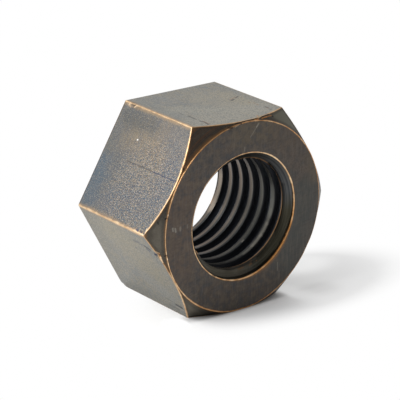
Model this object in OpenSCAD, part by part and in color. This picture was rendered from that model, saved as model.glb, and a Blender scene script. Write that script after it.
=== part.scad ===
// Heavy hexagon machine nut with a coarse trapezoidal right-hand thread.
// It stands on its bottom flat: +Z is up, the bore runs along Y and the
// washer face looks along -Y. The origin is on the floor under the middle.
// All lengths are in millimetres and all angles in degrees.

/* [Blank] */
// Distance across two opposite flats
across_flats = 76.2; // [66:0.1:100]
// Height of the nut along its bore, washer face included
nut_height = 46.3; // [34:0.1:80]

/* [Washer face] */
// Diameter of the round raised face at the front
washer_face_d = 75.9; // [62:0.1:76]
// How far the round face stands in front of the chamfer's inner edge
washer_face_rise = 0.4; // [0.2:0.1:4]
// Slope of the corner chamfer, measured from the washer face
chamfer_angle = 40; // [15:1:45]

/* [Bore] */
// Diameter over the thread's crests, which is the clear bore
minor_d = 44.45; // [36:0.05:46]
// Diameter over the thread's roots
major_d = 49.9; // [47:0.05:50.2]
// Diameter of each countersink where it meets the end face
countersink_d = 50.4; // [50.3:0.05:56]
// Slope of each countersink, measured from the bore's axis
countersink_angle = 45; // [30:1:60]

/* [Thread] */
// Distance from one crest to the next along the bore
pitch = 6.35; // [5:0.05:8]
// Share of the pitch that the flat crest takes
crest_share = 0.4; // [0.34:0.01:0.5]
// Slope of each flank, measured across the bore
flank_angle = 14.5; // [5:0.5:20]
// Depth of the first crest's middle behind the washer face, at the +X side
first_crest_depth = 2.9; // [0:0.05:6]

/* [Hidden] */
// Flat sides of the nut
SIDES = 6;
// Straight steps that stand for one turn of the groove
TURN_STEPS = 60;
// Smoothness of the turned surfaces
ROUND_STEPS = 144;
// How far every cut runs past the face that it leaves
overrun = 1;
// How far the groove's cutter reaches inside the crests, into the open bore
bore_reach = 1.2;

corner_r = across_flats / 2 / cos(180 / SIDES);
face_r = washer_face_d / 2;
minor_r = minor_d / 2;
major_r = major_d / 2;
countersink_r = countersink_d / 2;
chamfer_depth = washer_face_rise + (corner_r + overrun - face_r) * tan(chamfer_angle);
countersink_depth = (countersink_r - minor_r) / tan(countersink_angle);
countersink_overrun = overrun * tan(countersink_angle);

// Half the groove's width along the bore, at the crests, the roots and the cutter's inner side
crest_gap = pitch * (1 - crest_share) / 2;
root_gap = crest_gap - (major_r - minor_r) * tan(flank_angle);
inner_gap = crest_gap + bore_reach * tan(flank_angle);
cutter_r = minor_r - bore_reach;

// The groove starts in front of the nut and ends behind it, in whole steps
step_rise = pitch / TURN_STEPS;
groove_at_x = first_crest_depth + pitch / 2;
first_step = floor((-inner_gap - overrun - groove_at_x) / step_rise);
last_step = ceil((nut_height + inner_gap + overrun - groove_at_x) / step_rise);
turn_places = [first_step : last_step];
step_count = last_step - first_step;

// Section of the groove as radius and distance along the bore, going round it once
groove_section = [
    [cutter_r, -inner_gap],
    [major_r, -root_gap],
    [major_r, root_gap],
    [cutter_r, inner_gap]
];

// One corner of the section at one step of the turn
function groove_point(corner, place) =
    let (turn = place * 360 / TURN_STEPS)
    [
        corner[0] * cos(turn),
        corner[0] * sin(turn),
        groove_at_x + place * step_rise + corner[1]
    ];

// Two triangles between corners a and b of one step and the same corners of the next
function strip(at, a, b) =
    let (here = at * len(groove_section), next = here + len(groove_section))
    [
        [here + a, here + b, next + b],
        [here + a, next + b, next + a]
    ];

// Solid that fills the thread's groove, axis up
module groove_cutter() {
    corners = len(groove_section);
    last = step_count * corners;
    points = [
        for (place = turn_places)
            for (corner = groove_section)
                groove_point(corner, place)
    ];
    sides = [
        for (at = [0 : step_count - 1])
            for (a = [0 : corners - 1])
                for (face = strip(at, a, (a + 1) % corners))
                    face
    ];
    first_cap = [for (a = [corners - 1 : -1 : 0]) a];
    last_cap = [for (a = [0 : corners - 1]) last + a];
    polyhedron(points = points, faces = concat([first_cap], sides, [last_cap]), convexity = 10);
}

// Turned envelope of the blank, axis up and washer face at height zero
module turned_envelope() {
    rotate_extrude($fn = ROUND_STEPS)
        polygon([
            [0, 0],
            [face_r, 0],
            [face_r, washer_face_rise],
            [corner_r + overrun, chamfer_depth],
            [corner_r + overrun, nut_height],
            [0, nut_height]
        ]);
}

// Hexagon bar with its front corners turned down to the round washer face
module blank() {
    intersection() {
        cylinder(r = corner_r, h = nut_height, $fn = SIDES);
        turned_envelope();
    }
}

// Cone that opens the bore at one end, wide side down at the end face
module countersink() {
    translate([0, 0, -overrun])
        cylinder(
            r1 = countersink_r + countersink_overrun,
            r2 = minor_r,
            h = countersink_depth + overrun,
            $fn = ROUND_STEPS
        );
}

// Smooth bore over the crests, open at both ends
module bore() {
    translate([0, 0, -overrun])
        cylinder(r = minor_r, h = nut_height + 2 * overrun, $fn = ROUND_STEPS);
}

// The nut with its axis up, washer face at height zero
module nut_on_end() {
    difference() {
        blank();
        bore();
        countersink();
        translate([0, 0, nut_height])
            mirror([0, 0, 1])
                countersink();
        groove_cutter();
    }
}

// The whole nut, one solid, standing on its bottom flat
module hex_nut() {
    color([0.42, 0.39, 0.33])
        translate([0, -nut_height / 2, across_flats / 2])
            rotate([-90, 0, 0])
                nut_on_end();
}

hex_nut();
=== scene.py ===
import math

import bpy
import numpy as np
from mathutils import Matrix, Vector


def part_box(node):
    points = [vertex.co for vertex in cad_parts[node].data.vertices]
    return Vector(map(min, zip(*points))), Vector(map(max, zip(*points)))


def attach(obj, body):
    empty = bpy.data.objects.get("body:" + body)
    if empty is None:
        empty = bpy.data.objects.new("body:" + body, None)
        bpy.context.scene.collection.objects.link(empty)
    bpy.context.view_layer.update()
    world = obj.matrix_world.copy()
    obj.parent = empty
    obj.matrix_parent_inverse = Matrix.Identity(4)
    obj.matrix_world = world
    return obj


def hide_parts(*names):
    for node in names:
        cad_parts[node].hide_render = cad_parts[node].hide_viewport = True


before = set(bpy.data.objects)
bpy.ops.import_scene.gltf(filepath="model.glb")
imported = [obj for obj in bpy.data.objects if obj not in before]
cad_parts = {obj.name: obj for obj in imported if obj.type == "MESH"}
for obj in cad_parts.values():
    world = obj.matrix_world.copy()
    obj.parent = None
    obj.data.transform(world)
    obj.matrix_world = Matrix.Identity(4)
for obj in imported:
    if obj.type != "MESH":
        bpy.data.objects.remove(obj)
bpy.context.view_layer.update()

# A heavy machine nut with a worn, patinated skin, standing on one flat.
# Shapes are worked out in millimetres, as angle round the bore, distance from its
# axis and depth behind the washer face, and go into the mesh in metres. Angles run
# from +X towards +Z. A flat is named by the angle that its middle looks to, and a
# place on it by millimetres along it, in the sense of rising angles, and depth.
MM = 0.001
SIDES = 6
SECTOR = 2 * math.pi / SIDES

# Blank, from the frame's own box
low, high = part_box("hex_nut")
ACROSS_FLATS = (high[2] - low[2]) / MM
NUT_HEIGHT = (high[1] - low[1]) / MM
APOTHEM = ACROSS_FLATS / 2
CORNER_WEAR_R = 0.45

# Washer face and chamfer, turned a little off the bore's axis
FACE_R = 37.95
FACE_RISE = 0.4
FACE_CENTRE = (0.13, -0.26)
CHAMFER_SLOPE = math.tan(math.radians(40))
LEAST_CHAMFER = 0.06

# Bore and thread
RIM_R = 25.2
CREST_R = 22.225
ROOT_R = 24.95
PITCH = 6.35
CREST_SHARE = 0.4
FLANK_SLOPE = math.tan(math.radians(14.5))
FIRST_CREST_DEPTH = 2.9

# How far each worn edge is rounded back from its sharp line
RIM_WEAR = 0.14
CIRCLE_WEAR = 0.2
FOOT_FILL = 0.1
ARC_WEAR = 0.42
BACK_WEAR = 0.3
CREST_WEAR = 0.14
ROOT_FILL = 0.3
MOST_OF_SIDE = 0.45

# Mesh columns: even ones on each side, close ones beside each corner and dent and the
# least step between two, in degrees. A row of the bore nearer to a rim than JOIN_GAP
# ends in it.
COLUMNS_A_SIDE = 60
CORNER_STEPS = np.radians([-1.2, -0.55, -0.3, -0.15, 0, 0.15, 0.3, 0.55, 1.2])
DENT_STEPS = np.radians([-0.34, 0.34])
LEAST_STEP = math.radians(0.08)
JOIN_GAP = 0.03

# Camera, fitted to the photograph's 400 by 400 pixels. Its sensor is in millimetres and
# its distances are in metres.
PHOTO_SIDE = 400
SENSOR_WIDTH = 36
CLIP_START = 0.01
CAMERA_TURN = math.radians(-39.271)
CAMERA_RISE = math.radians(19.622)
CAMERA_ROLL = math.radians(1.502)
CAMERA_DISTANCE = 0.86046
CAMERA_FOCUS_PX = 2213.5
CAMERA_SHIFT_PX = (-6.31, -5.68)
CAMERA_AIM = (0, 0.00733, 0.0381)


# Places on the nut

def on_flat(facing, along, depth):
    """Place on a flat, in millimetres from the bore's axis and the washer face."""
    turn = math.radians(facing)
    return np.array([
        APOTHEM * math.cos(turn) - along * math.sin(turn),
        depth,
        APOTHEM * math.sin(turn) + along * math.cos(turn),
    ])


def on_face(x, z):
    """Place on the washer face."""
    return np.array([x, 0, z])


def by_circle(facing, beyond):
    """Place beside the washer face's edge, a distance past it: on the chamfer, or on the
    face where the distance is negative."""
    turn = math.radians(facing)
    return np.array([
        FACE_CENTRE[0] + (FACE_R + beyond) * math.cos(turn),
        FACE_RISE + beyond * CHAMFER_SLOPE if beyond > 0 else 0,
        FACE_CENTRE[1] + (FACE_R + beyond) * math.sin(turn),
    ])


def in_bore(facing, radius, depth):
    """Place on the wall of the bore."""
    turn = math.radians(facing)
    return np.array([radius * math.cos(turn), depth, radius * math.sin(turn)])


def in_frame(place):
    """The same place in the frame's axes, still in millimetres."""
    return place + np.array([0, -NUT_HEIGHT / 2, APOTHEM])


# Dents: place, radius and push, all in millimetres
DENTS = [
    (by_circle(168.8, 0), 0.6, (0.3, 0.3, 0)),
    (by_circle(191.4, 0), 0.6, (0.3, 0.3, 0)),
    (by_circle(139.4, 0.2), 0.8, (0.3, 0.35, -0.25)),
    (by_circle(102.5, 0), 0.8, (0.05, 0.25, -0.3)),
    (by_circle(190.8, 2.5), 1.0, (0.62, 0.4, 0.15)),
    (by_circle(79.5, 0.7), 0.9, (0, 0.3, -0.3)),
    (in_bore(237.4, 25.2, 0), 0.5, (-0.1, 0.25, -0.17)),
    (on_flat(150, -21.6, 41.0), 1.2, (0.35, 0, -0.3)),
    (on_flat(150, 20.6, 8.5), 1.1, (0.25, 0, -0.15)),
    (on_flat(210, 21.7, 46.0), 1.2, (0.32, -0.38, 0.22)),
    (on_flat(30, -20.8, 20.0), 0.9, (-0.2, 0, -0.25)),
    (on_flat(330, 20.5, 31.0), 0.9, (-0.25, 0, 0.2)),
    (on_flat(30, 12.0, 46.0), 0.8, (-0.1, -0.3, -0.1)),
]


# Mesh

def around():
    """Angles of the mesh's columns: even steps, with close ones at each corner of the
    hexagon and beside each small dent."""
    corners = np.arange(SIDES) * SECTOR
    even = np.linspace(0, SECTOR, COLUMNS_A_SIDE, endpoint=False)[2:-1]
    dents = np.array([math.atan2(place[2], place[0]) for place, _, _ in DENTS])
    angles = np.concatenate([
        (corners[:, None] + even).ravel(),
        (corners[:, None] + CORNER_STEPS).ravel(),
        (dents[:, None] + DENT_STEPS).ravel(),
    ])
    angles = np.sort(np.mod(angles, 2 * math.pi))
    apart = np.diff(angles, append=angles[0] + 2 * math.pi) > LEAST_STEP
    return angles[apart]


def hexagon_r(angle):
    """Distance from the axis to the hexagon: apothem over the cosine of the angle from
    the nearest flat's middle, and near a corner the far side of a small circle there."""
    half = SECTOR / 2
    from_corner = np.abs(np.mod(angle + half, SECTOR) - half)
    straight = APOTHEM / np.cos(half - from_corner)
    middle = (APOTHEM - CORNER_WEAR_R) / math.cos(half)
    under = CORNER_WEAR_R ** 2 - (middle * np.sin(from_corner)) ** 2
    rounded = middle * np.cos(from_corner) + np.sqrt(np.maximum(under, 0))
    last = math.atan2(CORNER_WEAR_R * math.sin(half), middle + CORNER_WEAR_R * math.cos(half))
    return np.where(from_corner < last, rounded, straight)


def circle_r(angle):
    """Distance from the axis to the washer face's edge, a circle about its own centre
    that the flats cut where it would pass them."""
    along = FACE_CENTRE[0] * np.cos(angle) + FACE_CENTRE[1] * np.sin(angle)
    off = FACE_CENTRE[0] ** 2 + FACE_CENTRE[1] ** 2
    return np.minimum(along + np.sqrt(FACE_R ** 2 - off + along ** 2), hexagon_r(angle) - LEAST_CHAMFER)


def arc_depth(angle):
    """Depth of the line where the chamfer's cone meets a flat: rise plus slope times the
    distance past the washer face's circle."""
    r = hexagon_r(angle)
    out = np.hypot(r * np.cos(angle) - FACE_CENTRE[0], r * np.sin(angle) - FACE_CENTRE[1])
    return FACE_RISE + np.maximum(out - FACE_R, LEAST_CHAMFER) * CHAMFER_SLOPE


def soft_corner(before, corner, after, reach, steps):
    """Rows that round one corner of a section: a quadratic curve with the corner as its
    handle and its ends `reach` away, or at MOST_OF_SIDE of a side that is too short."""
    ends = []
    for other in (before, after):
        side = other - corner
        length = np.maximum(np.linalg.norm(side, axis=0), 1e-6)
        ends.append(corner + side * np.minimum(reach / length, MOST_OF_SIDE))
    share = np.linspace(0, 1, steps)[:, None, None]
    return (1 - share) ** 2 * ends[0] + 2 * share * (1 - share) * corner + share ** 2 * ends[1]


def rounded_section(corners, reaches, steps, spans):
    """Rows of a section, as radius and depth for each column: every inner corner rounded,
    and straight rows between two corners at the shares that `spans` gives. Also the
    number of the row at the middle of each rounded corner."""
    rows = []
    middles = []
    for at in range(1, len(corners) - 1):
        bend = soft_corner(corners[at - 1], corners[at], corners[at + 1], reaches[at - 1], steps[at - 1])
        if rows:
            shares = np.array(spans[at - 2])[:, None, None]
            rows.append(rows[-1][-1] * (1 - shares) + bend[0] * shares)
        middles.append(sum(len(part) for part in rows) + steps[at - 1] // 2)
        rows.append(bend)
    return np.concatenate(rows), middles


def outside_section(angle):
    """Section of the outside from the front rim to the back rim: its rows, the rows at
    its six corners, and the corners themselves."""
    one = np.ones_like(angle)
    hexagon = hexagon_r(angle)
    corners = np.array([
        [CREST_R * one, (RIM_R - CREST_R) * one],
        [RIM_R * one, 0 * one],
        [circle_r(angle), 0 * one],
        [circle_r(angle), FACE_RISE * one],
        [hexagon, arc_depth(angle)],
        [hexagon, NUT_HEIGHT * one],
        [RIM_R * one, NUT_HEIGHT * one],
        [CREST_R * one, (NUT_HEIGHT - RIM_R + CREST_R) * one],
    ])
    reaches = [RIM_WEAR, CIRCLE_WEAR, FOOT_FILL, ARC_WEAR, BACK_WEAR, RIM_WEAR]
    steps = [5, 5, 3, 5, 5, 5]
    spans = [
        [0.015, 0.08, 0.2, 0.35, 0.5, 0.65, 0.8, 0.92, 0.985],
        [],
        [0.08, 0.3, 0.55, 0.8, 0.95],
        [
            0.008, 0.03, 0.06, 0.1, 0.15, 0.21, 0.28, 0.37, 0.46,
            0.55, 0.64, 0.72, 0.79, 0.85, 0.89, 0.93, 0.97, 0.994,
        ],
        [0.02, 0.12, 0.35, 0.6, 0.85, 0.98],
    ]
    rows, middles = rounded_section(corners, reaches, steps, spans)
    return rows, middles, corners


def groove_section():
    """One pitch of the thread's section, from crest middle to crest middle, as offset
    along the bore and radius: flat crest, sloping flank, flat root and back."""
    crest_half = PITCH * CREST_SHARE / 2
    root_edge = crest_half + (ROOT_R - CREST_R) * FLANK_SLOPE
    half = np.array([
        [0, CREST_R],
        [crest_half, CREST_R],
        [root_edge, ROOT_R],
        [PITCH / 2, ROOT_R],
    ])[:, :, None]
    rows, _ = rounded_section(half, [CREST_WEAR, ROOT_FILL], [3, 3], [[0.5]])
    # Rows on the flats of the crest and the root, beside the rounded corners
    lead_in = np.array([[0, CREST_R], [crest_half * 0.75, CREST_R]])
    lead_out = np.array([[PITCH * 0.43, ROOT_R]])
    first_half = np.concatenate([lead_in, rows[:, :, 0], lead_out])
    middle = np.array([[PITCH / 2, ROOT_R]])
    second_half = first_half[:0:-1] * [-1, 1] + [PITCH, 0]
    return np.concatenate([first_half, middle, second_half])


def thread_grid(angle, front, back):
    """Grid of the bore between two depths: rows climb with the thread, so a row's depth
    falls by one pitch in one turn. Gives each point's depth, the thread's radius
    there, and whether it lies between the two depths."""
    pitch_rows = groove_section()
    turns = np.arange(-1, math.ceil(NUT_HEIGHT / PITCH) + 2)
    starts = ((FIRST_CREST_DEPTH + turns * PITCH)[:, None] + pitch_rows[:, 0]).ravel()
    depth = starts[:, None] - PITCH * angle / (2 * math.pi)
    thread_r = np.repeat(np.tile(pitch_rows[:, 1], len(turns))[:, None], len(angle), axis=1)

    # Rows on a crest that pass a cone's inner end are moved onto it
    column = np.arange(len(angle))
    for end in (RIM_R - CREST_R, NUT_HEIGHT - RIM_R + CREST_R):
        gap = np.where(thread_r > CREST_R + MM, np.inf, np.abs(depth - end))
        nearest = gap.argmin(axis=0)
        close = gap[nearest, column] < PITCH * CREST_SHARE / 4
        depth[nearest[close], column[close]] = end
    inside = (depth > front + JOIN_GAP) & (depth < back - JOIN_GAP)
    return depth, thread_r, inside, len(pitch_rows)


def two_triangles(grid, flip):
    """Triangles of a grid of vertex numbers, two a cell; flat ones are left out."""
    a, b = grid[:-1, :-1].ravel(), grid[1:, :-1].ravel()
    c, d = grid[1:, 1:].ravel(), grid[:-1, 1:].ravel()
    faces = np.stack([np.stack([a, b, c], 1), np.stack([a, c, d], 1)], 1).reshape(-1, 3)
    if flip:
        faces = faces[:, ::-1]
    flat = (faces[:, 0] == faces[:, 1]) | (faces[:, 1] == faces[:, 2]) | (faces[:, 2] == faces[:, 0])
    return faces[~flat]


def cone_r(depth):
    """Radius of the nearer countersink's cone at a depth: it closes at 45 degrees."""
    return RIM_R - np.minimum(depth, NUT_HEIGHT - depth)


def nut_surface(angle):
    """The whole skin as one closed mesh: the outside is a grid of section rows and columns,
    and the bore a grid whose rows climb with the thread, its radius the larger of the
    thread's and the countersinks'. Rows that would leave the bore end in the rims."""
    columns = len(angle)
    outside, middles, corners = outside_section(angle)
    depth, thread_r, inside, pitch_rows = thread_grid(angle, outside[0, 1, 0], outside[-1, 1, 0])

    outside_count = outside.shape[0] * columns
    front_row = np.arange(columns)[None, :]
    back_row = outside_count - columns + front_row
    number = np.where(depth < NUT_HEIGHT / 2, front_row, back_row)
    number[inside] = outside_count + np.arange(inside.sum())

    # One turn on, each row meets the row one pitch before it
    closing = np.concatenate([np.repeat(number[:1, 0], pitch_rows), number[:-pitch_rows, 0]])
    bore_grid = np.concatenate([number, closing[:, None]], axis=1)
    outside_grid = np.arange(outside_count).reshape(-1, columns)
    outside_grid = np.concatenate([outside_grid, outside_grid[:, :1]], axis=1)
    outside_faces = two_triangles(outside_grid, flip=False)
    bore_faces = two_triangles(bore_grid, flip=True)

    bore_r = np.maximum(thread_r, cone_r(depth))[inside]
    radius = np.concatenate([outside[:, 0].ravel(), bore_r])
    deep = np.concatenate([outside[:, 1].ravel(), depth[inside]])
    turn = np.concatenate([np.tile(angle, outside.shape[0]), np.broadcast_to(angle, depth.shape)[inside]])
    return {
        "points": np.stack([radius * np.cos(turn), deep, radius * np.sin(turn)], axis=1),
        "angle": turn,
        "radius": radius,
        "depth": deep,
        "thread_r": np.concatenate([np.full(outside_count, RIM_R), thread_r[inside]]),
        "faces": np.concatenate([outside_faces, bore_faces]),
        "outside_faces": len(outside_faces),
        "outside_count": outside_count,
        "columns": columns,
        "corners": corners,
        "middles": middles,
    }


def dented(points):
    """The points with every dent pushed in: a push that fades as a bell round its place."""
    moved = points.copy()
    for place, radius, push in DENTS:
        away = np.linalg.norm(points - place, axis=1)
        moved += np.exp(-(away / radius) ** 2)[:, None] * np.array(push)
    hexagon = hexagon_r(np.arctan2(moved[:, 2], moved[:, 0]))
    out = np.hypot(moved[:, 0], moved[:, 2])
    shrink = np.minimum(hexagon / np.maximum(out, 1), 1)
    moved[:, 0] *= shrink
    moved[:, 2] *= shrink
    moved[:, 1] = np.clip(moved[:, 1], 0, NUT_HEIGHT)
    return moved


# Wear along the edges

def swells(angle, base, *rises):
    """A value round the nut: a base plus smooth rises, each a bell with its centre and
    spread in degrees and its height."""
    total = base
    for centre, spread, amount in rises:
        off = np.mod(np.degrees(angle) - centre + 180, 360) - 180
        total = total + amount * np.exp(-(off / spread) ** 2)
    return total


def wavy(along, seed):
    """An uneven wave round one: a sum of sines with fixed, unrelated lengths."""
    total = np.zeros_like(along)
    for number, rate in enumerate([2.3, 5.1, 9.7, 17.9]):
        total += np.sin(along * rate + seed * (number + 1.7)) / (number + 2)
    return 1 + 0.45 * total


# How the metal of the bore's rims goes from deep at the lower right to pale at the upper
RIM_PALENESS = [(-45, 40, -0.5), (50, 35, 0.3)]

# Wear of the hexagon's six long corners, in turn from +X: width of bare metal, width of
# thinned patina, how pale the metal is and how full
CORNER_WEAR = np.array([
    [0.35, 0.3, 0.55, 0.7, 0.24, 0.35],
    [1.0, 0.8, 2.2, 2.0, 0.6, 1.0],
    [0.4, 0.4, 0.6, 0.7, 0.3, 0.4],
    [0.7, 0.45, 0.58, 0.66, 0.12, 0.6],
])


def edge_lines(skin):
    """For each kind of worn edge, at every outside vertex: distance in millimetres, width
    of bare metal, width of thinned patina, how pale the metal is and how full it is."""
    count = skin["outside_count"]
    r, deep, turn = skin["radius"][:count], skin["depth"][:count], skin["angle"][:count]
    corners = skin["corners"]
    slow = wavy(turn, 1.0)

    def to_corner(number):
        edge = np.tile(corners[number], (1, count // skin["columns"]))
        return np.hypot(r - edge[0], deep - edge[1])

    # Line between chamfer and flat, widest at the lower left and broken at the top
    bare = swells(turn, 0.28, (150, 24, 0.12), (228, 16, 0.5), (86, 20, 0.3), (242, 12, 0.7))
    thin = swells(turn, 0.8 * slow, (215, 16, 0.5))
    pale = swells(turn, 0.35, (174, 13, 0.4), (222, 25, 0.35), (84, 24, 0.35))
    full = swells(turn, 0.6, (172, 16, 0.2), (222, 15, 0.2), (80, 20, 0.2), (146, 16, -0.1), (240, 12, 0.25))
    arc = (to_corner(4), bare * slow, thin, pale, full)

    # Long corners of the hexagon behind the chamfer: the left one, number three, is widest
    # near its front
    near = np.round(turn / SECTOR)
    corner_r = hexagon_r(np.zeros(1))[0]
    past = np.maximum(arc_depth(near * SECTOR) - deep, 0)
    beside = np.hypot(
        r * np.cos(turn) - corner_r * np.cos(near * SECTOR),
        r * np.sin(turn) - corner_r * np.sin(near * SECTOR),
    )
    near = np.mod(near, SIDES).astype(int)
    bare, thin, pale, full = CORNER_WEAR[:, near]
    bare = bare + (near == 3) * 0.3 * np.exp(-((deep - 11) / 8) ** 2)
    corner = (np.hypot(beside, past), bare * wavy(deep * 0.2, 2.0), thin, pale, full)

    # Back edges, dull
    back = (to_corner(5), 0.16 * wavy(turn, 4.0), 0.6 * slow, 0.3, 0.15)

    # Edge of the washer face, widest at the bottom and with a wide brown halo on the
    # chamfer at the upper left
    outer = (deep > FACE_RISE / 2) * 1.0
    bare = swells(
        turn, 0.24 * wavy(turn, 5.0),
        (190, 60, 0.07), (75, 30, 0.18), (250, 30, 0.5), (35, 28, 0.35), (300, 30, 0.3),
    )
    thin = swells(turn, 0.5, (250, 25, 0.5)) + outer * swells(turn, 0.4, (132, 24, 1.3))
    pale = swells(turn, 0.15, (195, 45, 0.45), (72, 25, 0.2))
    full = swells(
        turn, 0.46,
        (192, 36, 0.42), (75, 28, 0.42), (22, 35, 0.3), (252, 32, 0.55), (38, 25, 0.3), (300, 30, 0.35),
    )
    circle = (to_corner(2), bare, thin, pale, full)

    # Rims of the bore, deep orange at the lower right of the front one
    to_rim = np.minimum(to_corner(1), to_corner(6))
    bare = swells(turn, 0.3, (-62, 40, 0.3), (45, 35, 0.12))
    thin = swells(turn, 0.5, (-58, 36, 1.5))
    rim = (to_rim, bare * wavy(turn, 3.0), thin, swells(turn, 0.5, *RIM_PALENESS), 0.95)
    return [arc, corner, back, circle, rim]


def bore_lead(skin):
    """How far each vertex of the bore lies in front of the thread's first full crest, or
    behind its last one: the turned lead-in reaches to there, or to the cone's end. Past
    `fade_from` degrees below +X, where the thread starts, the reach goes over from the
    crest's end to the cone's end within `fade_over` degrees."""
    turn = np.mod(skin["angle"] + math.pi, 2 * math.pi) - math.pi
    crest_end = FIRST_CREST_DEPTH + PITCH * (CREST_SHARE / 2 - turn / (2 * math.pi))
    cone_end = RIM_R - CREST_R
    fade_from, fade_over = 125, 40
    hidden = np.clip((np.degrees(-turn) - fade_from) / fade_over, 0, 1)
    front = np.maximum(crest_end + (cone_end - crest_end) * hidden, cone_end)
    return np.maximum(front - skin["depth"], skin["depth"] - NUT_HEIGHT + cone_end)


def vertex_values(skin):
    """For every vertex: the distance to its worn edge in widths of bare metal and of
    thinned patina, the metal's paleness and fullness there, the lead-in's reach, how
    deep in the groove it is, as a share, and which side of its crest it is on, from
    minus one at the crest's front edge to one at its back edge."""
    cap = 9.0
    count = skin["outside_count"]
    total = len(skin["radius"])
    bare, thin = np.full(total, cap), np.full(total, cap)
    pale, full = np.full(total, 0.4), np.full(total, 0.9)
    for distance, bare_width, thin_width, paleness, fullness in edge_lines(skin):
        nearer = distance / bare_width < bare[:count]
        bare[:count] = np.where(nearer, distance / bare_width, bare[:count])
        pale[:count] = np.where(nearer, paleness, pale[:count])
        full[:count] = np.where(nearer, fullness, full[:count])
        thin[:count] = np.minimum(thin[:count], distance / thin_width)
    inside = slice(count, None)
    turn = skin["angle"][inside]
    from_end = np.minimum(skin["depth"][inside], NUT_HEIGHT - skin["depth"][inside])
    to_rim = np.hypot(RIM_R - skin["radius"][inside], from_end)
    bare_width = swells(turn, 0.22, (-50, 38, 0.36), (22, 34, 0.32))
    thin_width = swells(turn, 0.3, (-40, 30, 1.1), (15, 35, 0.5))
    bare[inside] = np.minimum(to_rim / bare_width, cap)
    thin[inside] = np.minimum(to_rim / thin_width, cap)
    pale[inside] = swells(turn, 0.5, *RIM_PALENESS)
    groove = np.clip((skin["thread_r"] - CREST_R) / (ROOT_R - CREST_R), 0, 1)
    lead = np.clip(bore_lead(skin), -cap, cap)
    along = (skin["depth"] - FIRST_CREST_DEPTH) / PITCH + skin["angle"] / (2 * math.pi)
    to_back = (along - np.round(along)) / (CREST_SHARE / 2)
    groove[:count] = 0
    lead[:count] = cap
    return {
        "bare_gap": bare,
        "thin_gap": thin,
        "edge_pale": pale,
        "edge_full": full,
        "lead_gap": lead,
        "groove_share": groove,
        "crest_back": np.clip(to_back, -1, 1),
    }


# Finishes, in the order of the mesh's material slots, and the flat with the speckle
FACE, CHAMFER, FLAT, SPECKLED, BORE = range(5)
SPECKLED_FACING = 150


def face_finishes(skin):
    """Number of the finish of each face, by the section's rows."""
    outside_faces = skin["faces"][: skin["outside_faces"]]
    row = outside_faces.min(axis=1) // skin["columns"]
    rim, circle, _, arc, back_edge, back_rim = skin["middles"]
    outside = np.select(
        [row < rim, row < circle, row < arc, row < back_edge, row < back_rim],
        [BORE, FACE, CHAMFER, FLAT, FACE],
        BORE,
    )
    points = skin["points"][outside_faces].mean(axis=1)
    facing = np.degrees(np.arctan2(points[:, 2], points[:, 0]))
    outside[(outside == FLAT) & (np.abs(facing - SPECKLED_FACING) < 180 / SIDES)] = SPECKLED
    bore = np.full(len(skin["faces"]) - len(outside_faces), BORE)
    return np.concatenate([outside, bore]).astype(np.int32)


def make_mesh(name, skin, finishes):
    """Puts the skin into a Blender mesh, in metres and in the frame's own axes."""
    points = in_frame(dented(skin["points"])) * MM
    faces = skin["faces"]
    mesh = bpy.data.meshes.new(name)
    mesh.vertices.add(len(points))
    mesh.vertices.foreach_set("co", points.ravel())
    mesh.loops.add(faces.size)
    mesh.loops.foreach_set("vertex_index", faces.ravel().astype(np.int32))
    mesh.polygons.add(len(faces))
    mesh.polygons.foreach_set("loop_start", np.arange(0, faces.size, 3, dtype=np.int32))
    mesh.polygons.foreach_set("use_smooth", np.ones(len(faces), dtype=bool))
    for material in finishes:
        mesh.materials.append(material)
    mesh.polygons.foreach_set("material_index", face_finishes(skin))
    mesh.update(calc_edges=True)
    mesh.validate()
    for label, values in vertex_values(skin).items():
        carrier = mesh.attributes.new(label, "FLOAT", "POINT")
        carrier.data.foreach_set("value", values.astype(np.float32))
    return mesh


# Node trees

def feed(socket, value):
    """Links a socket to the one that feeds it, or sets it to a plain value. A colour is
    given as red, green and blue."""
    if isinstance(value, bpy.types.NodeSocket):
        socket.id_data.links.new(value, socket)
    else:
        socket.default_value = (*value, 1) if socket.type == "RGBA" else value


def put(kind, inputs=None, tree=None, **settings):
    """Adds a node, to the tree of the first socket that feeds it unless a tree is given.
    Inputs are its sockets, by name or number, and settings its own properties."""
    inputs = inputs or {}
    if tree is None:
        tree = next(value.id_data for value in inputs.values() if isinstance(value, bpy.types.NodeSocket))
    made = tree.nodes.new("ShaderNode" + kind)
    for name, value in settings.items():
        setattr(made, name, value)
    for key, value in inputs.items():
        feed(made.inputs[key], value)
    return made


def sum_of(operation, first, second=0.0, tree=None):
    """A sum of two numbers, and its result."""
    return put("Math", {0: first, 1: second}, tree, operation=operation).outputs[0]


def plus(first, second):
    """One number plus another."""
    return sum_of("ADD", first, second)


def minus(first, second):
    """One number less another."""
    return sum_of("SUBTRACT", first, second)


def times(first, second):
    """One number times another."""
    return sum_of("MULTIPLY", first, second)


def carried(name, place):
    """A value that the mesh carries at its vertices, in the tree that this place is in."""
    return put("Attribute", tree=place.id_data, attribute_name=name).outputs["Fac"]


def split_up(place):
    """The three numbers of a place."""
    return put("SeparateXYZ", {0: place}).outputs


def vector_sum(operation, first, second, result=0):
    """A sum of two vectors, and its result."""
    return put("VectorMath", {0: first, 1: second}, operation=operation).outputs[result]


def scaled(vector, factor):
    """A vector times a number."""
    return put("VectorMath", {0: vector, "Scale": factor}, operation="SCALE").outputs[0]


def ramp(value, start, end, low_value=0.0, high_value=1.0):
    """A soft step of a number from one value to another between two places."""
    inputs = {0: value, 1: start, 2: end, 3: low_value, 4: high_value}
    return put("MapRange", inputs, interpolation_type="SMOOTHSTEP").outputs[0]


def blend(share, first, second):
    """Two colours mixed by a share."""
    return put("Mix", {0: share, 6: first, 7: second}, data_type="RGBA").outputs[2]


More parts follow.
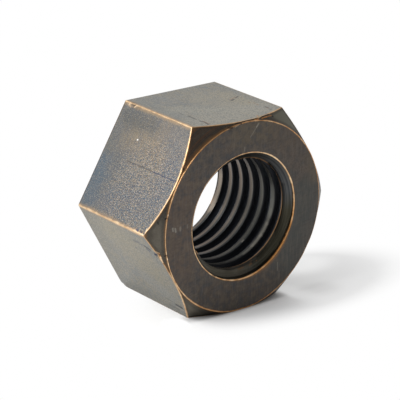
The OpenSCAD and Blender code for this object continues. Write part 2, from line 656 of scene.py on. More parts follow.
def layer(colour, value, start, end, share, tint):
    """The colour with a tint over it, whose share rises softly from none where the value
    is at its start to `share` at its end."""
    return blend(ramp(value, start, end, 0, share), colour, tint)


def grain(place, size, detail=2.0, roughness=0.5):
    """Noise whose lumps are about `size` millimetres across, as a number round a half."""
    rate = sum_of("DIVIDE", 1.0, size, place.id_data)
    inputs = {"Vector": place, "Scale": rate, "Detail": detail, "Roughness": roughness}
    return put("TexNoise", inputs).outputs[0]


# How far noise moves the limits of bare metal, as a share of its width, and the node
# groups by name
RAGGEDNESS = 0.7
GROUPS = {}


def new_group(name, inputs, outputs):
    """An empty node group, its inputs and its outputs. Both sets of sockets are given as
    the names of each kind."""
    tree = bpy.data.node_groups.new(name, "ShaderNodeTree")
    for side, sockets in (("INPUT", inputs), ("OUTPUT", outputs)):
        for kind, labels in sockets.items():
            for label in labels:
                tree.interface.new_socket(label, in_out=side, socket_type="NodeSocket" + kind)
    GROUPS[name] = tree
    return tree.nodes.new("NodeGroupInput").outputs, tree.nodes.new("NodeGroupOutput").inputs


def worn_edge_group():
    """Bare metal and thinned patina beside an edge, from the distance in widths that the
    mesh carries: each is full on the edge and none past its own ragged width. Metal is
    the bare copper's colour there, between a deep and a pale one."""
    given, out = new_group(
        "worn_edge",
        {"Vector": ["Place"], "Color": ["Deep", "Pale"]},
        {"Float": ["Bare", "Thin"], "Color": ["Metal"]},
    )
    coarse = grain(given["Place"], 2.4, 1.0)
    fine = grain(given["Place"], 0.5, 2.0)
    both = plus(times(coarse, 1.2), times(fine, 0.8))
    swing = times(minus(both, 1.0), RAGGEDNESS)
    width = plus(swing, 1.0)
    shares = []
    for attribute, inner in (("bare_gap", 0.2), ("thin_gap", 0.0)):
        distance = carried(attribute, given["Place"])
        shares.append(ramp(sum_of("DIVIDE", distance, width), inner, 1.0, 1.0, 0.0))
    full = carried("edge_full", given["Place"])
    strength = plus(full, times(swing, 0.4))
    feed(out["Bare"], times(shares[0], strength))
    feed(out["Thin"], shares[1])
    pale = carried("edge_pale", given["Place"])
    tone = plus(pale, times(minus(coarse, 0.5), 1.2))
    tone = put("Clamp", {0: tone}).outputs[0]
    feed(out["Metal"], blend(tone, given["Deep"], given["Pale"]))


def patina_group():
    """Patina in patches and grains: three colours mixed by a slow and a fast noise."""
    given, out = new_group(
        "patina",
        {
            "Vector": ["Place"],
            "Color": ["Main", "Patches", "Grains"],
            "Float": ["Patch Size", "Patch Share", "Grain Size", "Grain Share"],
        },
        {"Color": ["Color"], "Float": ["Grain"]},
    )
    slow = grain(given["Place"], given["Patch Size"], 3.0, 0.55)
    fast = grain(given["Place"], given["Grain Size"], 2.0, 0.6)
    patch = times(ramp(slow, 0.38, 0.62), given["Patch Share"])
    speck = times(ramp(fast, 0.42, 0.6), given["Grain Share"])
    colour = blend(patch, given["Main"], given["Patches"])
    feed(out["Color"], blend(speck, colour, given["Grains"]))
    feed(out["Grain"], fast)


def streak_group():
    """Fine parallel streaks: noise on a place that is drawn together along one direction."""
    given, out = new_group(
        "streaks",
        {"Vector": ["Place", "Along"], "Float": ["Length", "Size"]},
        {"Float": ["Streak"]},
    )
    reach = vector_sum("DOT_PRODUCT", given["Place"], given["Along"], "Value")
    less = minus(sum_of("DIVIDE", reach, given["Length"]), reach)
    change = scaled(given["Along"], less)
    drawn = vector_sum("ADD", given["Place"], change)
    feed(out["Streak"], grain(drawn, given["Size"], 3.0, 0.6))


def mark_group():
    """A scratch or a soft spot: full on the straight line between two places and none
    past its width, which a wobble round zero makes ragged."""
    given, out = new_group(
        "mark",
        {"Vector": ["Place", "Start", "End"], "Float": ["Width", "Wobble"]},
        {"Float": ["Share"]},
    )
    line = vector_sum("SUBTRACT", given["End"], given["Start"])
    here = vector_sum("SUBTRACT", given["Place"], given["Start"])
    reach = vector_sum("DOT_PRODUCT", here, line, "Value")
    square = sum_of("MAXIMUM", vector_sum("DOT_PRODUCT", line, line, "Value"), 0.0001)
    share = put("Math", {0: reach, 1: square}, operation="DIVIDE", use_clamp=True).outputs[0]
    nearest = scaled(line, share)
    off = vector_sum("DISTANCE", here, nearest, "Value")
    width = times(given["Width"], plus(given["Wobble"], 1.0))
    feed(out["Share"], ramp(sum_of("DIVIDE", off, width), 0.2, 1.0, 1.0, 0.0))


def turned_group():
    """Fine rings left by turning: noise read by distance from the bore's axis."""
    given, out = new_group(
        "turned",
        {"Vector": ["Place"], "Float": ["Ring Size"]},
        {"Float": ["Ring"]},
    )
    split = split_up(given["Place"])
    up = minus(split[2], APOTHEM)
    square = plus(times(split[0], split[0]), times(up, up))
    flat = put("CombineXYZ", {0: sum_of("SQRT", square), 1: split[1]}).outputs[0]
    feed(out["Ring"], grain(flat, given["Ring Size"]))


for make_group in (worn_edge_group, patina_group, streak_group, mark_group, turned_group):
    make_group()


def use(name, inputs):
    """Places one of the groups in a material, sets its inputs and gives its outputs."""
    return put("Group", inputs, node_tree=GROUPS[name]).outputs


def streaks(place, along, length, size):
    """Streaks of the group of that name, along one direction."""
    return use("streaks", {0: place, 1: along, 2: length, 3: size})["Streak"]


def rings(place, size):
    """Rings of the group for turned work."""
    return use("turned", {"Place": place, "Ring Size": size})["Ring"]


def mark_share(place, start, end, width, wobble=0.0):
    """Share of one mark or soft spot between two places on the nut."""
    return use("mark", {0: place, 1: in_frame(start), 2: in_frame(end), 3: width, 4: wobble})["Share"]


# Bare metal's roughness, the most that thinned patina covers, and the bumps' height in
# metres
BARE_ROUGHNESS = 0.34
THIN_SHARE = 0.75
BUMP_HEIGHT = 0.0002

# Colours of bare metal, thinned patina and marks
COPPER_DEEP = (0.56, 0.25, 0.075)
COPPER_PALE = (0.82, 0.62, 0.39)
THIN_PATINA = (0.23, 0.115, 0.042)
THIN_ON_FLATS = (0.29, 0.2, 0.115)
TINTS = {
    "dark": (0.02, 0.02, 0.022),
    "blue": (0.035, 0.045, 0.08),
    "brown": (0.2, 0.1, 0.045),
    "tan": (0.34, 0.25, 0.16),
    "light": (0.3, 0.28, 0.24),
    "copper": COPPER_DEEP,
    "cream": (0.85, 0.65, 0.43),
    "white": (0.8, 0.8, 0.8),
}

# Patinas: the colours of the whole, of the patches and of the grains, and the size and
# share of the patches and of the grains
PATINAS = {
    "turned_face": ((0.075, 0.069, 0.064), (0.1, 0.083, 0.07), (0.052, 0.044, 0.04), 4.5, 0.9, 0.6, 0.4),
    "turned_chamfer": (
        (0.085, 0.075, 0.06), (0.105, 0.095, 0.078), (0.05, 0.044, 0.04), 4.0, 0.6, 0.7, 0.45,
    ),
    "plain_flats": (
        (0.188, 0.188, 0.174), (0.226, 0.217, 0.185), (0.125, 0.12, 0.108), 8.0, 0.9, 0.55, 0.5,
    ),
    "speckled_flat": (
        (0.1, 0.103, 0.099), (0.128, 0.122, 0.107), (0.075, 0.077, 0.077), 9.0, 0.9, 0.7, 0.5,
    ),
    "bore": ((0.07, 0.067, 0.056), (0.085, 0.08, 0.067), (0.045, 0.043, 0.038), 6.0, 0.6, 0.6, 0.4),
}

# Scratches, pits and dabs, and in the bore painted shade and highlights, in sets: the
# finishes they show on, how a place there is found and the numbers that come first in it.
# Each mark has a tint, share and width, and the places that it runs through.
MARKS = [
    # Top flat
    ("flat", on_flat, (90,), [
        ("dark", 0.45, 0.45, (15.0, 22.5), (15.2, 19.5)),
        ("dark", 0.8, 0.5, (14.6, 17.1), (14.8, 12.2)),
        ("dark", 0.95, 0.55, (14.9, 9.7), (14.2, 8.2), (15.0, 4.7)),
        ("brown", 0.7, 0.4, (14.0, 9.0), (14.1, 5.0)),
        ("dark", 0.8, 0.8, (-11.4, 23.0), (-13.0, 23.7)),
        ("dark", 0.75, 0.6, (-14.8, 24.6), (-17.0, 25.9)),
        ("brown", 0.5, 0.5, (-11.8, 24.2), (-15.6, 25.5)),
        ("brown", 0.6, 0.6, (-15.4, 17.4), (-15.4, 16.8)),
        ("brown", 0.55, 0.6, (-16.6, 15.8), (-16.5, 15.0)),
        ("brown", 0.5, 0.6, (-16.3, 13.6), (-16.1, 12.8)),
        ("dark", 0.7, 0.7, (-17.0, 9.6), (-17.0, 8.3)),
        ("brown", 0.6, 0.6, (-16.6, 8.2), (-16.6, 7.6)),
        ("dark", 0.6, 0.6, (-16.5, 6.7), (-16.5, 5.6)),
        ("dark", 0.3, 0.5, (19.0, 34.0), (18.0, 28.0)),
        ("copper", 0.6, 0.4, (-6.6, 1.9), (-7.2, 2.8)),
    ]),
    # Lower left flat
    ("flat", on_flat, (210,), [
        ("dark", 0.95, 0.75, (-15.3, 8.8), (-14.6, 5.8)),
        ("blue", 0.8, 0.7, (-13.9, 8.3), (-13.6, 7.2)),
        ("blue", 0.5, 0.8, (-15.5, 15.3), (-16.0, 11.9)),
        ("blue", 0.35, 0.8, (-15.1, 11.8), (-15.7, 9.5)),
        ("blue", 0.6, 0.8, (-11.3, 16.6), (-11.4, 16.2)),
        ("blue", 0.95, 0.8, (-13.0, 4.1), (-12.7, 3.4)),
        ("dark", 1.0, 1.0, (16.2, 8.7), (16.5, 5.4)),
        ("light", 0.6, 0.6, (17.6, 9.6), (17.8, 5.0)),
        ("dark", 0.35, 0.7, (18.8, 14.0), (18.6, 8.0)),
        ("dark", 0.3, 0.7, (14.9, 14.5), (15.2, 11.0)),
    ]),
    # Flats on the far side
    ("flat", on_flat, (30,), [
        ("dark", 0.5, 0.4, (4.0, 22.0), (3.0, 12.0)),
    ]),
    ("flat", on_flat, (330,), [
        ("dark", 0.4, 0.5, (-12.0, 35.0), (-9.0, 20.0)),
    ]),
    # Speckled flat
    ("speckled", on_flat, (150,), [
        ("dark", 0.5, 0.3, (-1.1, 30.6), (-1.1, 14.0)),
        ("blue", 0.75, 0.36, (-1.1, 15.0), (-1.1, 1.2)),
        ("white", 0.9, 0.48, (-9.9, 30.4), (-9.9, 30.4)),
        ("dark", 0.7, 0.9, (-21.5, 41.9), (-21.4, 40.2)),
        ("tan", 0.5, 0.5, (-21.1, 43.4), (-20.4, 42.1)),
        ("tan", 0.15, 0.5, (-20.4, 42.1), (-20.9, 39.8)),
        ("cream", 0.6, 0.5, (-20.9, 39.8), (-21.8, 38.9)),
        ("dark", 0.65, 0.5, (-20.0, 46.1), (21.0, 46.1)),
        ("cream", 0.25, 0.5, (21.6, 11.5), (21.7, 8.5)),
        ("cream", 0.9, 0.7, (21.9, 7.6), (21.8, 5.0)),
        ("light", 0.5, 0.5, (20.2, 9.0), (20.0, 7.2)),
        ("cream", 0.5, 0.5, (19.0, 5.2), (21.4, 4.6)),
        ("blue", 0.95, 0.6, (20.9, 10.2), (21.1, 9.3)),
        ("blue", 0.95, 0.55, (20.9, 7.9), (21.1, 7.2)),
        ("blue", 0.9, 0.5, (21.2, 5.6), (21.3, 5.3)),
    ]),
    # Chamfer: the dark gap and doubled line at the top, the torn edge at the left
    ("chamfer", by_circle, (), [
        ("dark", 0.9, 0.25, (98, 0.4), (92, 0.3)),
        ("dark", 0.95, 0.28, (92, 0.3), (86, 0.42)),
        ("dark", 0.95, 0.3, (86, 0.42), (80.5, 0.8)),
        ("dark", 0.95, 0.32, (80.5, 0.8), (76.5, 1.4)),
        ("dark", 0.9, 0.3, (76.5, 1.4), (72.5, 2.1)),
        ("copper", 0.75, 0.34, (84, 0.15), (78, 0.62)),
        ("copper", 0.7, 0.34, (78, 0.62), (74.5, 1.12)),
        ("copper", 0.5, 0.36, (74.5, 1.12), (70.5, 1.85)),
        ("dark", 0.9, 0.4, (69.9, 1.5), (69.2, 1.6)),
        ("brown", 0.9, 0.7, (190.2, 2.5), (193, 2.0)),
        ("tan", 1.0, 0.55, (188.5, 2.9), (189.8, 1.9)),
        ("copper", 0.9, 0.5, (189.8, 1.9), (192, 1.65)),
        ("cream", 0.7, 0.5, (192, 1.65), (195.5, 1.4)),
        ("dark", 0.6, 0.5, (171.8, 2.3), (172.8, 2.1)),
    ]),
    # Nicks in the edge of the washer face
    ("face chamfer", by_circle, (), [
        ("dark", 0.95, 0.45, (168.9, -0.3), (169.4, 0.3)),
        ("cream", 0.7, 0.35, (167.4, 0), (166.8, 0)),
        ("dark", 0.95, 0.45, (191.3, -0.4), (191.6, 0.3)),
        ("cream", 0.6, 0.35, (193, -0.1), (194, -0.1)),
        ("dark", 0.95, 0.6, (139.9, 0.6), (138.9, 0.1)),
        ("dark", 0.85, 0.5, (103.6, 0.1), (101.2, -0.3)),
        ("dark", 0.8, 0.5, (96.5, 0.3), (94.5, -0.1)),
        ("tan", 0.6, 0.4, (99, -0.5), (97, -0.3)),
    ]),
    # Washer face
    ("face", on_face, (), [
        ("light", 0.22, 0.35, (1.9, 31.4), (5.0, 35.1)),
        ("light", 0.38, 0.5, (4.6, 34.8), (5.6, 35.9)),
        ("light", 0.25, 0.4, (-0.8, 27.8), (-0.8, 26.4)),
        ("light", 0.5, 0.6, (-34.5, 2.5), (-34.3, 1.5)),
        ("light", 0.5, 0.6, (-33.3, 2.2), (-33.0, 0.9)),
        ("light", 0.25, 0.7, (-30.9, 2.2), (-30.8, 1.0)),
        ("light", 0.2, 0.6, (-27.5, 2.4), (-27.5, 1.4)),
        ("light", 0.22, 0.35, (17.9, -22.7), (18.0, -26.0)),
    ]),
    # Nicks in the front rim of the bore
    ("face bore", on_face, (), [
        ("dark", 0.9, 0.45, (-13.9, -21.3), (-13.6, -21.8)),
        ("brown", 0.8, 0.4, (-14.6, -20.6), (-14.3, -21.0)),
    ]),
    # Bore: a band of painted shade inside the rim at the bottom, painted highlights along
    # the foremost crest and a short one on the next, and brown and dark spots on the lead-in
    ("bore", in_bore, (), [
        ("dark", 0.8, 0.6, (-108, 24.6, 0.6), (-90, 24.4, 0.8), (-72, 24.2, 1.0), (-54, 24.2, 1.0)),
        ("dark", 0.7, 0.6, (-54, 24.2, 1.0), (-36, 24.4, 0.8)),
        ("light", 0.3, 1.2, (-12, 22.2, 9.3), (-27, 22.2, 9.5)),
        ("light", 0.5, 1.3, (-27, 22.2, 9.5), (-40, 22.2, 9.7)),
        ("light", 0.55, 1.3, (-40, 22.2, 9.7), (-53, 22.2, 9.9)),
        ("light", 0.35, 1.1, (-53, 22.2, 9.9), (-66, 22.2, 10.1)),
        ("light", 0.6, 0.5, (-52, 22.2, 15.9), (-54, 22.2, 15.9)),
        ("brown", 0.45, 0.6, (-69.5, 22.3, 3.9), (-72, 22.3, 3.7)),
        ("brown", 0.5, 0.5, (-66, 22.8, 2.5), (-67, 23, 2.2)),
        ("brown", 0.45, 0.6, (-72, 22.6, 2.9), (-75, 22.8, 2.6)),
        ("brown", 0.4, 0.8, (-83, 22.4, 3.2), (-88, 22.4, 3.0)),
        ("dark", 0.6, 0.5, (-70, 22.4, 3.0), (-71, 22.5, 2.8)),
    ]),
]


def add_marks(place, wobble, colour, finish):
    """The colour with the marks of one finish laid over it."""
    for shown_on, find, facing, marks in MARKS:
        if finish not in shown_on.split():
            continue
        for tint, share, width, *places in marks:
            places = [find(*facing, *numbers) for numbers in places]
            for start, end in zip(places, places[1:]):
                mark = mark_share(place, start, end, width, wobble)
                colour = blend(times(mark, share), colour, TINTS[tint])
    return colour


def tint_spots(place, colour, find, facing, spots):
    """The colour with wide soft spots laid over it. How a place is found is given as for a
    set of marks, and each spot has a share, a width, its two ends and a colour."""
    wobble = times(minus(grain(place, 6.0), 0.5), 1.4)
    for share, width, start, end, tint in spots:
        spot = mark_share(place, find(*facing, *start), find(*facing, *end), width, wobble)
        colour = blend(times(spot, share), colour, tint)
    return colour


def make_finish(name, shown_on, paint, skin_roughness, bump=0.06, thinned=THIN_PATINA):
    """A metal material: its patina as painted by its own function, worn edges and marks over
    it, a roughness by how bare the metal is, and a bump. Its place is in millimetres."""
    material = bpy.data.materials.new(name)
    material.use_nodes = True
    tree = material.node_tree
    shader = tree.nodes["Principled BSDF"]
    shader.inputs["Metallic"].default_value = 1.0
    place = scaled(put("TexCoord", tree=tree).outputs["Object"], 1 / MM)
    skin = use("patina", dict(enumerate([place, *PATINAS[name]])))
    colour, height = paint(place, skin)
    worn = use("worn_edge", {"Place": place, "Deep": COPPER_DEEP, "Pale": COPPER_PALE})
    colour = blend(times(worn["Thin"], THIN_SHARE), colour, thinned)
    colour = blend(worn["Bare"], colour, worn["Metal"])
    wobble = times(minus(grain(place, 0.6), 0.5), 1.2)
    feed(shader.inputs["Base Color"], add_marks(place, wobble, colour, shown_on))
    levels = {0: worn["Bare"], 1: 0.0, 2: 1.0, 3: skin_roughness, 4: BARE_ROUGHNESS}
    feed(shader.inputs["Roughness"], put("MapRange", levels).outputs[0])
    made = put("Bump", {"Strength": bump, "Distance": BUMP_HEIGHT, "Height": height})
    feed(shader.inputs["Normal"], made.outputs[0])
    return material


def washer_face(place, skin):
    """Dark turned face, rubbed up and down: brown at its left, grey-green at its right."""
    colour = tint_spots(place, skin["Color"], on_face, (), [
        (0.6, 15.0, (-32, 12), (-30, -12), (0.1, 0.075, 0.06)),
        (0.75, 14.0, (31, 2), (22, -24), (0.063, 0.066, 0.062)),
        (0.55, 8.0, (-3, 33), (10, 33), (0.106, 0.089, 0.066)),
        (0.6, 4.0, (32, 18), (35.5, 9), (0.1, 0.083, 0.063)),
        (0.5, 8.0, (16, 31), (24, 26), (0.095, 0.076, 0.06)),
        (0.5, 8.0, (-18, -28), (18, -30), (0.062, 0.051, 0.044)),
    ])
    clouds = grain(place, 2.6, 2.0, 0.6)
    cloudy = ramp(split_up(place)[0], 26.0, 8.0, 0.25, 1.0)
    tan = times(ramp(clouds, 0.5, 0.64, 0, 0.45), cloudy)
    blue = times(ramp(clouds, 0.5, 0.37, 0, 0.5), cloudy)
    colour = blend(tan, colour, (0.112, 0.092, 0.07))
    colour = blend(blue, colour, (0.052, 0.056, 0.061))
    rubbed = streaks(place, (0, 0, 1), 9.0, 0.8)
    colour = layer(colour, rubbed, 0.42, 0.75, 0.32, (0.14, 0.122, 0.105))
    across = streaks(place, (0.98, 0, 0.2), 7.0, 0.7)
    colour = layer(colour, across, 0.5, 0.75, 0.4, (0.05, 0.043, 0.042))
    ring = rings(place, 0.35)
    return colour, plus(ring, times(skin["Grain"], 0.5))


def chamfer(place, skin):
    """Darker brown chamfer, near black along its outer line."""
    edge = carried("thin_gap", place)
    colour = tint_spots(place, skin["Color"], by_circle, (), [
        (0.8, 9.0, (232, 3), (240, 5), (0.16, 0.145, 0.115)),
        (0.5, 8.0, (176, 3), (184, 3), (0.115, 0.105, 0.085)),
        (0.9, 7.0, (64, 3), (54, 3), (0.135, 0.128, 0.098)),
    ])
    colour = layer(colour, edge, 2.4, 1.3, 0.42, (0.03, 0.026, 0.024))
    ring = rings(place, 0.5)
    upper = mark_share(place, by_circle(128, 2), by_circle(112, 2), 12.0)
    streak = times(ramp(ring, 0.46, 0.62), upper)
    colour = blend(times(streak, 0.55), colour, (0.12, 0.062, 0.036))
    return colour, ring


def plain_flat(place, skin):
    """Smooth grey patina of the drawn flats, clouded with tan."""
    drawn = streaks(place, (0, 1, 0), 14.0, 0.8)
    colour = blend(ramp(drawn, 0.42, 0.7, 0, 0.4), skin["Color"], (0.15, 0.152, 0.145))
    tan_streak = times(ramp(drawn, 0.46, 0.34), 0.5)
    clouds = grain(place, 2.2, 2.0, 0.6)
    colour = layer(colour, clouds, 0.5, 0.6, 0.6, (0.262, 0.224, 0.155))
    colour = layer(colour, clouds, 0.48, 0.38, 0.6, (0.146, 0.164, 0.175))
    light = ramp(grain(place, 0.5, 1.0), 0.48, 0.62, 0, 0.75)
    dark = ramp(grain(place, 0.46, 1.0), 0.52, 0.38, 0, 0.75)
    colour = tint_spots(place, colour, on_flat, (90,), [
        (0.7, 15.0, (-6, 30), (-12, 16), (0.275, 0.25, 0.19)),
        (0.75, 14.0, (-12, 10), (14, 8), (0.31, 0.292, 0.24)),
        (0.75, 9.0, (18, 26), (4, 18), (0.295, 0.285, 0.238)),
        (0.6, 8.0, (20, 40), (20, 20), (0.17, 0.178, 0.172)),
        (0.6, 6.0, (-14, 31), (-14.5, 18), (0.29, 0.25, 0.165)),
        (0.5, 7.0, (9.5, 38), (9.5, 36), (0.195, 0.203, 0.206)),
        (0.4, 4.0, (-15.8, 10), (-16, 8), (0.235, 0.236, 0.222)),
    ])
    colour = tint_spots(place, colour, on_flat, (210,), [
        (0.7, 14.0, (-14, 30), (0, 12), (0.262, 0.228, 0.155)),
        (0.55, 9.0, (-15, 37), (-15, 18), (0.25, 0.222, 0.152)),
        (0.45, 5.0, (17.5, 40), (16, 43), (0.125, 0.13, 0.128)),
        (0.75, 12.0, (-18, 43), (8, 46), (0.17, 0.158, 0.126)),
        (0.4, 8.0, (21, 44), (21, 2), (0.135, 0.14, 0.135)),
        (0.7, 7.0, (12, 12), (8, 21), (0.228, 0.23, 0.216)),
    ])
    colour = blend(tan_streak, colour, (0.275, 0.23, 0.15))
    colour = blend(light, colour, (0.29, 0.272, 0.226))
    colour = blend(dark, colour, (0.12, 0.124, 0.118))
    return colour, skin["Grain"]


def speckled_flat(place, skin):
    """Tan and blue-grey speckle of the upper left flat, strongest at its lower front."""
    colour = tint_spots(place, skin["Color"], on_flat, (150,), [
        (0.75, 13.0, (-10, 29), (-4, 16), (0.2, 0.156, 0.1)),
        (0.5, 4.5, (-9.5, 20), (-7, 16), (0.215, 0.15, 0.08)),
        (0.6, 9.0, (-16, 16), (-12, 6), (0.145, 0.13, 0.118)),
        (0.4, 6.0, (-17, 19), (-10, 19), (0.18, 0.14, 0.088)),
        (0.6, 5.0, (5.5, 9.5), (-2.5, 10), (0.08, 0.083, 0.09)),
        (0.5, 6.0, (7, 23), (7, 18), (0.155, 0.138, 0.115)),
        (0.9, 11.0, (17, 43), (6, 44), (0.07, 0.096, 0.12)),
        (0.65, 8.0, (-5, 6), (8, 5), (0.08, 0.088, 0.105)),
        (0.8, 6.0, (-16.5, 40), (-16.5, 26), (0.078, 0.078, 0.07)),
        (0.5, 9.0, (16, 32), (12, 14), (0.088, 0.1, 0.122)),
    ])
    drawn = streaks(place, (-0.5, 0, -0.866), 9.0, 0.9)
    colour = layer(colour, drawn, 0.46, 0.66, 0.5, (0.085, 0.094, 0.108))
    reach = mark_share(place, on_flat(150, 18, 8), on_flat(150, 8, 14), 34.0)
    strong = ramp(reach, 0.0, 0.95, 0.42, 1.0)
    hue = grain(place, 0.36, 1.0, 0.5)
    tinted = ramp(reach, 0.1, 0.95, 0.25, 1.0)
    warm = times(ramp(hue, 0.5, 0.6, 0, 0.65), tinted)
    cool = times(ramp(hue, 0.5, 0.4, 0, 0.65), tinted)
    colour = blend(warm, colour, (0.188, 0.14, 0.075))
    colour = blend(cool, colour, (0.05, 0.12, 0.175))
    light = ramp(grain(place, 0.3, 1.0, 0.5), 0.52, 0.66)
    dark = ramp(grain(place, 0.29, 1.0, 0.5), 0.52, 0.38)
    colour = blend(times(dark, strong), colour, (0.033, 0.045, 0.072))
    colour = blend(times(light, strong), colour, (0.35, 0.29, 0.23))
    return colour, skin["Grain"]


def bore_wall(place, skin):
    """Turned lead-in with concentric marks, crests that go from taupe at the back to
    grey-green at the front and carry painted highlights and painted shade, and near-black
    grooves. Its place is split into millimetres to the right, behind the nut's middle and
    above the floor."""
    turned = tint_spots(place, skin["Color"], in_bore, (), [
        (0.85, 12.0, (12, 24, 1), (52, 24, 1), (0.056, 0.06, 0.067)),
        (0.8, 9.0, (78, 24, 1), (105, 24, 1), (0.036, 0.037, 0.033)),
        (0.8, 11.0, (-55, 24, 1), (-12, 24, 1), (0.036, 0.033, 0.02)),
        (0.8, 7.5, (-120, 24, 2), (-90, 24, 2), (0.082, 0.073, 0.054)),
        (0.75, 3.6, (-112, 22.5, 6.6), (-92, 22.5, 6.2), (0.26, 0.24, 0.2)),
    ])
    ring = rings(place, 0.45)
    right, behind, up = split_up(place)
    calm = ramp(up, APOTHEM - 4, APOTHEM + 10, 0.35, 1.0)
    light = times(ramp(ring, 0.44, 0.62, 0, 0.4), calm)
    dark = times(ramp(ring, 0.5, 0.36, 0, 0.5), calm)
    turned = blend(light, turned, (0.14, 0.135, 0.12))
    turned = blend(dark, turned, (0.025, 0.025, 0.024))
    back = ramp(behind, -12.0, 6.0)
    crest = blend(back, (0.1, 0.103, 0.091), (0.185, 0.143, 0.112))
    crest = blend(times(skin["Grain"], 0.5), crest, (0.07, 0.065, 0.058))
    # Painted shade: the front crests go darker towards the top of the bore
    high = ramp(up, APOTHEM + 2, APOTHEM + 18, 0, 0.5)
    front = ramp(behind, 4.0, -12.0)
    crest = blend(times(high, front), crest, (0.033, 0.031, 0.026))
    side = carried("crest_back", place)
    # Painted highlight along each crest's front edge, then painted shade towards its back edge
    crest = blend(ramp(side, -0.5, 0.0, 0.3, 0), crest, (0.3, 0.28, 0.25))
    crest = layer(crest, side, 0.1, 0.95, 0.6, (0.035, 0.035, 0.04))
    # Painted shade over each crest's front edge, reaching further lower down the bore
    nose = minus(side, ramp(up, APOTHEM, APOTHEM - 18, -0.55, -0.2))
    crest = layer(crest, nose, 0.07, -0.07, 0.95, (0.026, 0.028, 0.031))
    shade = times(ramp(right, 6.0, 16.0), ramp(up, APOTHEM + 6, APOTHEM - 8))
    shade = times(shade, ramp(behind, -13.0, -9.0))
    crest = blend(times(shade, 0.5), crest, (0.055, 0.057, 0.053))
    # Painted highlight on the foremost crest and painted shade just below it, and painted light on the last
    # crest at the back
    crest = tint_spots(place, crest, in_bore, (), [
        (0.55, 3.5, (-14, 22, 9.6), (10, 22, 9.4), (0.19, 0.19, 0.175)),
        (0.4, 3.5, (-29, 22, 10), (-33, 22, 10), (0.07, 0.07, 0.066)),
        (0.45, 3.5, (-34, 22, 41.8), (0, 22, 41), (0.33, 0.275, 0.22)),
    ])
    groove = carried("groove_share", place)
    flank = blend(ramp(groove, 0.05, 0.8), (0.018, 0.019, 0.022), (0.085, 0.092, 0.105))
    cut = blend(ramp(groove, 0.0, 0.04), crest, flank)

    lead = carried("lead_gap", place)
    colour = blend(ramp(lead, -0.05, 0.05), cut, turned)
    on_line = times(ramp(lead, -0.1, 0.05), ramp(lead, 0.65, 0.45))
    seen = ramp(behind, 0.0, -5.0)
    line = times(times(on_line, seen), 0.75)
    colour = blend(line, colour, (0.42, 0.24, 0.12))
    return colour, ring


def make_nut():
    """The nut's skin, in place of the plain solid."""
    finishes = [
        make_finish("turned_face", "face", washer_face, 0.45),
        make_finish("turned_chamfer", "chamfer", chamfer, 0.45),
        make_finish("plain_flats", "flat", plain_flat, 0.4, 0.08, THIN_ON_FLATS),
        make_finish("speckled_flat", "speckled", speckled_flat, 0.42, 0.1, THIN_ON_FLATS),
        make_finish("bore", "bore", bore_wall, 0.4, 0.1),
    ]
    mesh = make_mesh("nut_skin", nut_surface(around()), finishes)
    piece = bpy.data.objects.new("nut_skin", mesh)
    bpy.context.scene.collection.objects.link(piece)
    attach(piece, "root")
    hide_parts("hex_nut")


# Studio

# Half the floor's side in metres, its colour and its roughness
FLOOR_REACH = 4.0
FLOOR_COLOUR = (0.9, 0.9, 0.9)
FLOOR_ROUGHNESS = 0.9

# Painted contact shadow, a dark line under the front edge: its colour, share and oval. An
# oval has a centre, a scale along X and Y, and an inner and an outer radius.
PAINTED_CONTACT_SHADOW_COLOUR = (0.03, 0.03, 0.03)
PAINTED_CONTACT_SHADOW_SHARE = 0.85
PAINTED_CONTACT_SHADOW = ((-0.003, -0.0195), (0.19, 1), 0.0015, 0.006)

# The floor is white to the camera outside this oval. Inside it the share of white rises
# from none beside the nut to the lift within a reach in metres, in haste at its sides.
SHADOW = ((0.023, -0.014), (0.85, 1.9), 0.03, 0.067)
SHADOW_LIFT = 0.35
LIFT_REACH = 0.012
SIDE_HASTE = 3.0

# Soft spots that change the lift, each an amount and an oval: painted shadow where the
# amount is negative and painted light where it is positive
SHADOW_SPOTS = [
    (-0.2, (0.014, -0.032), (0.7, 1.2), 0.004, 0.014),
    (-0.18, (0.04, -0.025), (1, 1.3), 0.002, 0.012),
    (-0.2, (0.004, -0.028), (0.5, 1.2), 0.004, 0.013),
    (0.08, (0.028, -0.018), (1, 1), 0.002, 0.007),
    (0.9, (-0.029, -0.02), (1, 1), 0.003, 0.008),
    (0.3, (0.051, 0), (1, 1.5), 0.006, 0.022),
]


def round_spot(where, centre, scale, start, end):
    """Share of a soft oval on the floor: one inside its inner radius, none past its outer
    one, both measured after the distance from its centre is scaled."""
    off = vector_sum("SUBTRACT", where, (centre[0], centre[1], 0))
    drawn = vector_sum("MULTIPLY", off, (scale[0], scale[1], 1))
    distance = put("VectorMath", {0: drawn}, operation="LENGTH").outputs["Value"]
    return ramp(distance, start, end, 1, 0)


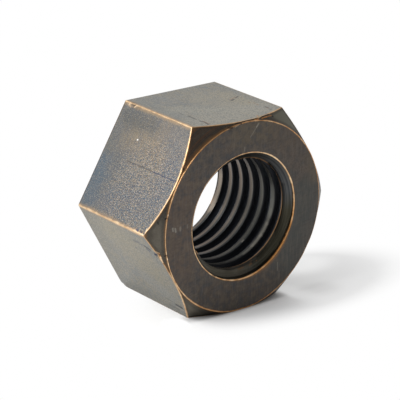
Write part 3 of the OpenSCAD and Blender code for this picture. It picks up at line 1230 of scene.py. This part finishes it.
def make_floor():
    """A pale floor that goes to white away from the nut and keeps its shadow, with a painted
    contact shadow under the nut's front edge: the share of white is the larger of the far
    one and the lift close to the nut."""
    mesh = bpy.data.meshes.new("floor")
    side = FLOOR_REACH
    corners = [(-side, -side, 0), (side, -side, 0), (side, side, 0), (-side, side, 0)]
    mesh.from_pydata(corners, [], [(0, 1, 2, 3)])
    material = bpy.data.materials.new("floor")
    material.use_nodes = True
    tree = material.node_tree
    shader = tree.nodes["Principled BSDF"]
    shader.inputs["Roughness"].default_value = FLOOR_ROUGHNESS
    shader.inputs["Specular IOR Level"].default_value = 0.0
    white = put("Emission", {"Color": (1, 1, 1), "Strength": 1.0}, tree).outputs[0]
    where = put("TexCoord", tree=tree).outputs["Object"]
    # Painted contact shadow: the floor's colour goes dark in an oval under the front edge
    under = times(round_spot(where, *PAINTED_CONTACT_SHADOW), PAINTED_CONTACT_SHADOW_SHARE)
    colour = blend(under, FLOOR_COLOUR, PAINTED_CONTACT_SHADOW_COLOUR)
    feed(shader.inputs["Base Color"], colour)
    far = minus(1.0, round_spot(where, *SHADOW))
    lift = SHADOW_LIFT
    for change, *oval in SHADOW_SPOTS:
        lift = plus(lift, times(round_spot(where, *oval), change))
    split = split_up(where)
    beside = minus(sum_of("ABSOLUTE", split[0]), APOTHEM * MM / math.sqrt(3))
    before = minus(sum_of("ABSOLUTE", split[1]), NUT_HEIGHT * MM / 2)
    beside = times(beside, SIDE_HASTE)
    clear = ramp(sum_of("MAXIMUM", beside, before), 0.0, LIFT_REACH)
    far = sum_of("MAXIMUM", far, times(clear, lift))
    seen = times(far, put("LightPath", tree=tree).outputs["Is Camera Ray"])
    mixed = put("MixShader", {0: seen, 1: shader.outputs[0], 2: white}).outputs[0]
    feed(tree.nodes["Material Output"].inputs["Surface"], mixed)
    mesh.materials.append(material)
    floor = bpy.data.objects.new("floor", mesh)
    bpy.context.scene.collection.objects.link(floor)


# Level of the surroundings in front of the nut and behind it, and the directions between
# which it rises
WORLD_LEVELS = (0.35, 1.0)
WORLD_TURNS = (-0.8, 0.5)

# The one lamp: place, side in metres and power in watts
KEY_PLACE = (-0.62, 0.2, 0.62)
KEY_SIDE = 0.6
KEY_POWER = 8


def make_world():
    """Soft surroundings: bright behind the nut, dimmer in front, white to the camera."""
    world = bpy.data.worlds.new("studio")
    bpy.context.scene.world = world
    world.use_nodes = True
    tree = world.node_tree
    direction = put("TexCoord", tree=tree).outputs["Generated"]
    level = ramp(split_up(direction)[1], *WORLD_TURNS, *WORLD_LEVELS)
    shown = put("LightPath", tree=tree).outputs["Is Camera Ray"]
    colour = blend(shown, level, (1, 1, 1))
    feed(tree.nodes["Background"].inputs["Color"], colour)
    tree.nodes["Background"].inputs["Strength"].default_value = 1.0


def make_lamp(name, place, side, power):
    """A square soft light that faces the nut."""
    lamp = bpy.data.lights.new(name, "AREA")
    lamp.energy = power
    lamp.size = side
    held = bpy.data.objects.new(name, lamp)
    aim = Vector((0, 0, APOTHEM * MM)) - Vector(place)
    held.matrix_world = Matrix.Translation(place) @ aim.to_track_quat("-Z", "Y").to_matrix().to_4x4()
    bpy.context.scene.collection.objects.link(held)


def make_camera():
    """The photograph's camera, from its turn, rise, roll, distance and focal length."""
    back = Vector((
        math.sin(CAMERA_TURN) * math.cos(CAMERA_RISE),
        -math.cos(CAMERA_TURN) * math.cos(CAMERA_RISE),
        math.sin(CAMERA_RISE),
    ))
    level_right = (-back).cross(Vector((0, 0, 1))).normalized()
    level_up = level_right.cross(-back)
    right = math.cos(CAMERA_ROLL) * level_right + math.sin(CAMERA_ROLL) * level_up
    up = math.cos(CAMERA_ROLL) * level_up - math.sin(CAMERA_ROLL) * level_right
    camera = bpy.data.cameras.new("camera")
    camera.sensor_fit = "HORIZONTAL"
    camera.sensor_width = SENSOR_WIDTH
    camera.lens = CAMERA_FOCUS_PX * SENSOR_WIDTH / PHOTO_SIDE
    camera.shift_x = -CAMERA_SHIFT_PX[0] / PHOTO_SIDE
    camera.shift_y = CAMERA_SHIFT_PX[1] / PHOTO_SIDE
    camera.clip_start = CLIP_START
    held = bpy.data.objects.new("camera", camera)
    turn = Matrix((right, up, back)).transposed().to_4x4()
    held.matrix_world = Matrix.Translation(Vector(CAMERA_AIM) + back * CAMERA_DISTANCE) @ turn
    bpy.context.scene.collection.objects.link(held)
    bpy.context.scene.camera = held


make_camera()
make_world()
make_floor()
make_lamp("key", KEY_PLACE, KEY_SIDE, KEY_POWER)
make_nut()
bpy.context.scene.view_settings.view_transform = "Standard"
